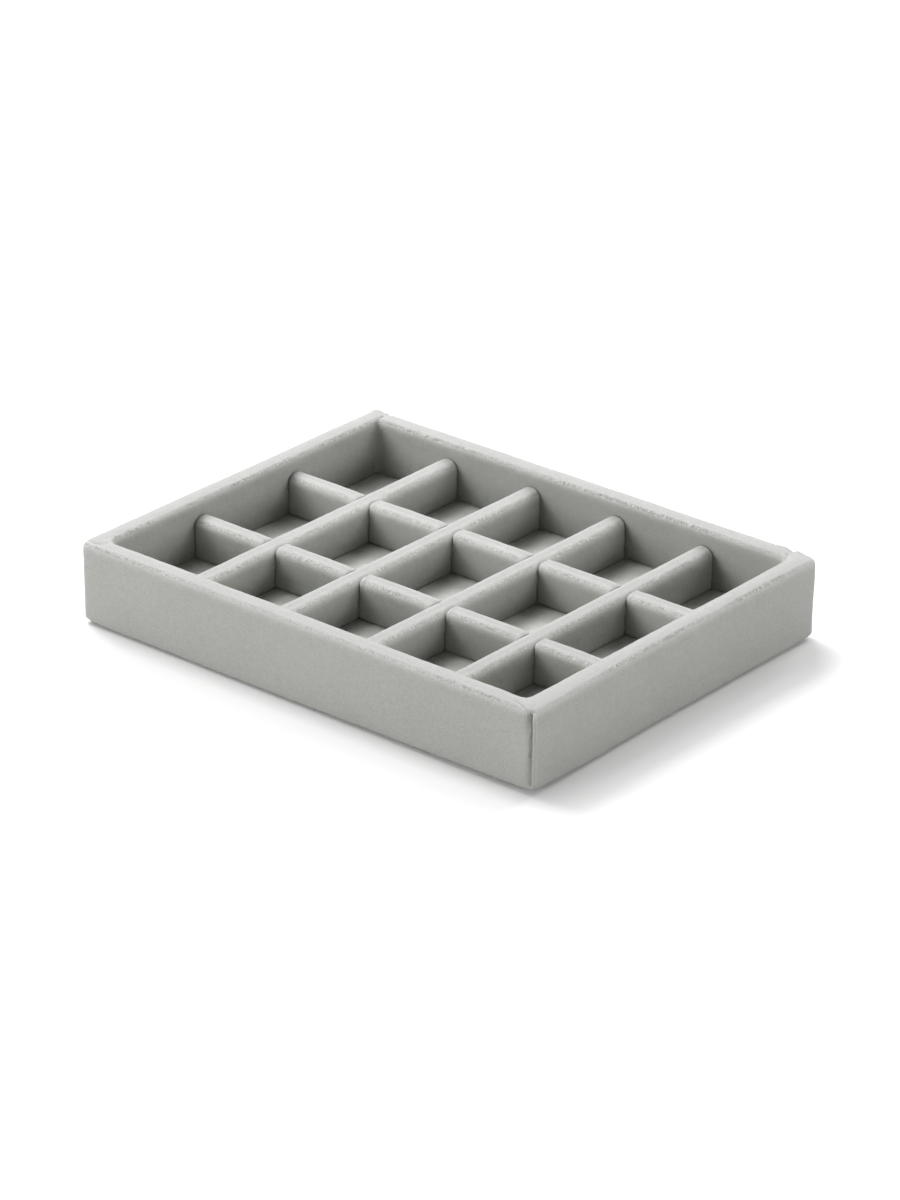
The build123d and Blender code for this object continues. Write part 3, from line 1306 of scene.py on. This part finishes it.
    def cope(self, obj: bpy.types.Object) -> None:
        """Draws the crown over the shoulder of the cross divider at each right-hand end."""
        lay = self.layout
        places, facing = corners(obj), corners(obj, "normal")[:, 0]
        rise = np.clip(places[:, 2] - (lay.divider_top - self.crown), 0, self.crown)
        shoulder = np.sqrt(np.maximum(self.crown ** 2 - rise ** 2, 0))
        half = np.maximum(lay.half_divider - self.crown + shoulder, self.cope_tip)
        bite = self.cope_bite * smooth_step(rise, 0, 1 * MM)
        move = np.zeros(len(places))
        for line in lay.cross_lines:
            end = line - self.half_slot
            gap = end - places[:, 0]
            meet = line - half + bite
            near_end = (gap > -0.1 * MM) & (gap < self.cope_run + 1 * MM) & (rise > 0)
            drawn = (1 - smooth_step(gap, 0, self.cope_run)) * (meet - end)
            on_end = (facing > 0.35) & (gap < 1 * MM)
            move = np.where(near_end, np.where(on_end, meet - places[:, 0], drawn), move)
        furthest = 1.5 * self.crown
        shift(obj, Push.RIGHT, furthest, np.clip(move / furthest, 0, 1))

    def rims(self, line_y: float) -> list[Crease]:
        """The light rims where the cloth restarts on the right of each crossing.

        Args:
            line_y: where the long divider stands.

        Returns:
            One rib for each crossing.
        """
        top, y = self.layout.divider_top / MM, line_y / MM
        over = ((-3.0, 3.4), (-2.2, 0.9), (-0.6, 0.0), (0.6, 0.0), (2.2, 0.9))
        starts = [(line + self.half_slot) / MM + 0.75 for line in self.layout.cross_lines]
        return [Crease(tuple((x, y + side, top - drop) for side, drop in over), (-0.16, -0.1), 0.7)
                for x in starts]

    def pucker(self) -> list[Crease]:
        """The upright pucker at the back end of the last cross divider."""
        lay = self.layout
        x = (lay.cross_lines[-1] + lay.half_divider) / MM
        y, top = lay.cross_reach / MM, lay.divider_top / MM
        return [Crease(((x, y - 1.7, top - 2.0), (x, y - 1.5, top - 9.5)), (0.4, 0.2), 0.55)]

    def build(self) -> list[bpy.types.Object]:
        """Builds all sleeves.

        Returns:
            The long sleeves and then the cross sleeves.
        """
        lay = self.layout
        longs = copies(self.long_sleeve(), "long_sleeve", [(0, y, 0) for y in lay.long_lines])
        crosses = copies(self.cross_sleeve(), "cross_sleeve", [(x, 0, 0) for x in lay.cross_lines])
        for sleeve, line in zip(longs, lay.long_lines):
            self.loosen(sleeve, Across.LENGTH)
            press_creases(sleeve, self.rims(line), 0.4 * MM)
            thicken(sleeve, lay.velour, self.keep)
        for sleeve in crosses:
            self.loosen(sleeve, Across.WIDTH)
            if sleeve is crosses[-1]:
                press_creases(sleeve, self.pucker(), 0.3 * MM)
            thicken(sleeve, lay.velour, self.keep)
        return longs + crosses


@dataclass
class FloorSheet:
    """The sheet of velour over the foam, pressed down under the dividers."""

    layout: TrayLayout
    flat: tuple[float, float] = (107 * MM, 142.8 * MM)
    gap: float = 0.1 * MM
    drop: float = 0.08 * MM
    swell: float = 0.22 * MM
    swell_run: float = 5.0 * MM
    # Painted light on the floor: its colour is lightened with the distance from the nearest wall
    # or divider
    painted_light_from_walls: tuple[tuple[float, ...], tuple[float, ...]] = (
        (0.0, 1.5 * MM, 3.5 * MM, 5.5 * MM, 7.0 * MM, 9.5 * MM),
        (0.05, 0.1, 0.08, 0.13, 0.22, 0.35))
    step: float = 1.0 * MM

    def build(self) -> bpy.types.Object:
        """Builds the sheet.

        Returns:
            The finished piece.
        """
        lay = self.layout
        length, width = 2 * (lay.inner_x - self.gap), 2 * (lay.inner_y - self.gap)
        bpy.ops.object.select_all(action="DESELECT")
        bpy.ops.mesh.primitive_grid_add(
            x_subdivisions=round(length / self.step), y_subdivisions=round(width / self.step),
            size=1, location=(0, 0, lay.floor_top - self.drop))
        bpy.context.object.scale = (length, width, 1)
        obj = own_place("floor_sheet")
        free = smooth_step(self.clear_of_walls(obj), 0, self.swell_run)
        shift(obj, Push.UP, self.swell, free)
        paint_group(obj, "free", free)
        SOFT_WAVES.raise_on(obj, "free")
        PILE_LUMPS.raise_on(obj, "free")
        thicken(obj, lay.velour - self.drop, 0.15)
        # Painted light: the floor is lighter the further it is from a wall or divider, so it is
        # darker beside them
        paint_attribute(obj, "painted_light_and_shade", np.interp(self.clear_of_walls(obj), *self.painted_light_from_walls))
        return obj

    def clear_of_walls(self, obj: bpy.types.Object) -> np.ndarray:
        """How far each corner is from the nearest wall or divider."""
        lay, places = self.layout, corners(obj)
        return np.min([lay.inner_x - np.abs(places[:, 0]), lay.inner_y - np.abs(places[:, 1]),
                       *lay.from_crossings(places)], axis=0)


@dataclass
class FoamPad:
    """The thin foam pad under the floor sheet."""

    layout: TrayLayout
    gap: float = 0.1 * MM
    drop: float = 0.15 * MM
    edge: float = 0.5 * MM
    whole_edge: float = 10 * MM
    column: float = 2.4 * MM
    skin: Relief = Relief("foam_skin", 6 * MM, 0.12 * MM, 2)

    def build(self) -> bpy.types.Object:
        """Builds the pad.

        Returns:
            The finished piece.
        """
        lay = self.layout
        half_x, half_y = lay.inner_x - self.gap, lay.inner_y - self.gap
        obj = add_block("foam_pad", (-half_x, -half_y, lay.base_top),
                        (half_x, half_y, lay.floor_top - lay.velour - self.drop))
        apply_modifier(obj, "BEVEL", width=self.edge, segments=3, limit_method="NONE",
                       affect="EDGES")
        with Bench(obj) as bench:
            for across in (Across.LENGTH, Across.WIDTH):
                bench.divide(across, self.whole_edge, self.column)
        paint_group(obj, "top", smooth_step(corners(obj)[:, 2], lay.base_top + 1.5 * MM,
                                            lay.floor_top - lay.velour - 0.2 * MM))
        self.skin.raise_on(obj, "top")
        obj.vertex_groups.clear()
        smooth(obj)
        return obj


@dataclass
class BottomCover:
    """The backing sheet over the turned hem, stepped up inside it."""

    layout: TrayLayout
    flat: tuple[float, float] = (113.2 * MM, 149 * MM)
    hem_reach: float = 9.0 * MM
    thickness: float = 0.5 * MM
    corner: float = 1.3 * MM
    edge: float = 0.08 * MM

    def build(self) -> bpy.types.Object:
        """Builds the sheet.

        Returns:
            The finished piece.
        """
        lay = self.layout
        low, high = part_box("bottom_cover")
        obj = add_block("backing_cover", low, (high.x, high.y, 1.0 * MM))
        ring_x = lay.half_length - self.hem_reach - self.thickness
        ring_y = lay.half_width - self.hem_reach - self.thickness
        with Bench(obj) as bench:
            bench.remove(lambda face: not near(place(face).z, low.z))
            bench.cut(Across.LENGTH, -ring_x, ring_x)
            bench.cut(Across.WIDTH, -ring_y, ring_y)
            bench.pick(Pick.FACE, lambda face: abs(place(face).x) < ring_x
                       and abs(place(face).y) < ring_y)
            bench.draw_out(high.z - self.thickness - low.z)
            bench.merge()
            bench.pick(Pick.CORNER, lambda corner: near(abs(corner.co.x), high.x)
                       and near(abs(corner.co.y), high.y))
            bpy.ops.mesh.bevel(offset=self.corner, segments=5, affect="VERTICES")
            bench.face_out()
        downward = sum(face.normal.z * face.area for face in obj.data.polygons) < 0
        apply_modifier(obj, "SOLIDIFY", thickness=self.thickness,
                       offset=-1.0 if downward else 1.0)
        apply_modifier(obj, "BEVEL", width=self.edge, segments=2, limit_method="ANGLE",
                       angle_limit=math.radians(40), affect="EDGES")
        make_active(obj)
        bpy.ops.object.shade_smooth_by_angle(angle=math.radians(35))
        return obj


@dataclass(frozen=True)
class SoftLamp:
    """A square lamp that points at the tray: its place, side and power."""

    name: str
    spot: tuple[float, float, float]
    side: float
    power: float

    def hang(self) -> None:
        """Adds the lamp to the scene."""
        data = bpy.data.lights.new(self.name, "AREA")
        data.size = self.side
        data.energy = self.power
        put_up(self.name, data, Vector(self.spot), Vector(self.spot))


def put_up(name: str, data: bpy.types.ID, spot: Vector, back: Vector) -> bpy.types.Object:
    """Adds a lamp or camera to the scene.

    Args:
        name: its name.
        data: its data.
        spot: where it stands.
        back: the direction from what it points at to itself.

    Returns:
        The new object.
    """
    obj = bpy.data.objects.new(name, data)
    obj.location = spot
    obj.rotation_euler = (-back).to_track_quat("-Z", "Y").to_euler()
    bpy.context.scene.collection.objects.link(obj)
    return obj


@dataclass
class Studio:
    """White table, soft lights and the camera at the photograph's angle."""

    azimuth: float = math.radians(40.414)
    elevation: float = math.radians(25.344)
    distance: float = 1.26073
    target: tuple[float, float, float] = (-0.011367, 0.014504, 0.0)
    lens: float = 140.114
    table_reach: float = 0.6
    lamps: tuple[SoftLamp, ...] = (
        SoftLamp("left", (-1.0, 0.0, 1.2), 0.7, 20.7),
        SoftLamp("left_above", (-0.6, 0.1, 1.4), 0.5, 7.7),
        SoftLamp("left_back", (-1.1, 0.5, 0.8), 0.5, 6.6),
        SoftLamp("back_left", (-0.9, 0.8, 1.0), 0.7, 16.4),
        SoftLamp("back", (0.0, 1.2, 1.0), 0.7, 15.0),
        SoftLamp("back_low", (0.2, 1.4, 0.45), 0.6, 6.0),
        SoftLamp("back_right", (0.9, 0.9, 1.0), 0.7, 3.5),
        SoftLamp("front_left", (-0.9, -0.9, 0.9), 0.7, 6.4),
        SoftLamp("front_low", (-0.35, -1.4, 0.28), 0.5, 12.2),
        SoftLamp("right_low", (1.4, 0.15, 0.28), 0.5, 9.4),
        SoftLamp("top", (0.0, 0.0, 1.5), 0.9, 1.6),
    )

    def build(self, table: bpy.types.ID) -> None:
        """Builds the table, the lights and the camera.

        Args:
            table: the table's material.
        """
        bpy.ops.object.select_all(action="DESELECT")
        bpy.ops.mesh.primitive_circle_add(vertices=96, radius=self.table_reach,
                                          fill_type="NGON")
        floor = own_place("table")
        floor.data.materials.append(table)
        for lamp in self.lamps:
            lamp.hang()
        self.surroundings()
        self.camera()

    def surroundings(self) -> None:
        """Makes the world white where it is seen, and dark as light."""
        sheet = Nodes(bpy.data.worlds.new("surroundings"))
        background = sheet.add("Background", Color=(1, 1, 1, 1),
                               Strength=sheet.spread(sheet.seen(), 0.0, 1.0))
        bpy.context.scene.world = sheet.finish(background, "OutputWorld")

    def camera(self) -> None:
        """Adds the camera."""
        data = bpy.data.cameras.new("camera")
        data.sensor_width = 36
        data.sensor_fit = "AUTO"
        data.lens = self.lens
        data.clip_end = 20
        flat = math.cos(self.elevation)
        back = Vector((math.sin(self.azimuth) * flat, -math.cos(self.azimuth) * flat,
                       math.sin(self.elevation)))
        spot = Vector(self.target) + back * self.distance
        bpy.context.scene.camera = put_up("camera", data, spot, back)


def main() -> None:
    """Builds the tray, dresses it and sets up the studio."""
    logging.basicConfig(level=logging.INFO, format="%(name)s %(message)s")
    layout = TrayLayout.from_nodes()
    wardrobe = Wardrobe()

    wall_wrap = WallWrap(layout)
    wrap = wall_wrap.build()
    dress(wrap, wardrobe.upright, "wall_velour")

    sleeves = Sleeves(layout)
    for sleeve in sleeves.build():
        kind, number = sleeve.name.split("_sleeve_")
        dress(sleeve, wardrobe.even, f"{kind}_divider_velour_{number}")

    pad = FoamPad(layout).build()
    dress(pad, wardrobe.foam, "floor_pad")

    floor = FloorSheet(layout).build()
    dress(floor, wardrobe.even, "floor_velour")

    cover = BottomCover(layout).build()
    dress(cover, wardrobe.backing, "bottom_cover")

    wardrobe.dress_boards()
    Studio().build(wardrobe.table)
    bpy.context.scene.view_settings.view_transform = "Standard"
    bpy.ops.object.select_all(action="DESELECT")


if __name__ == "__main__":
    main()
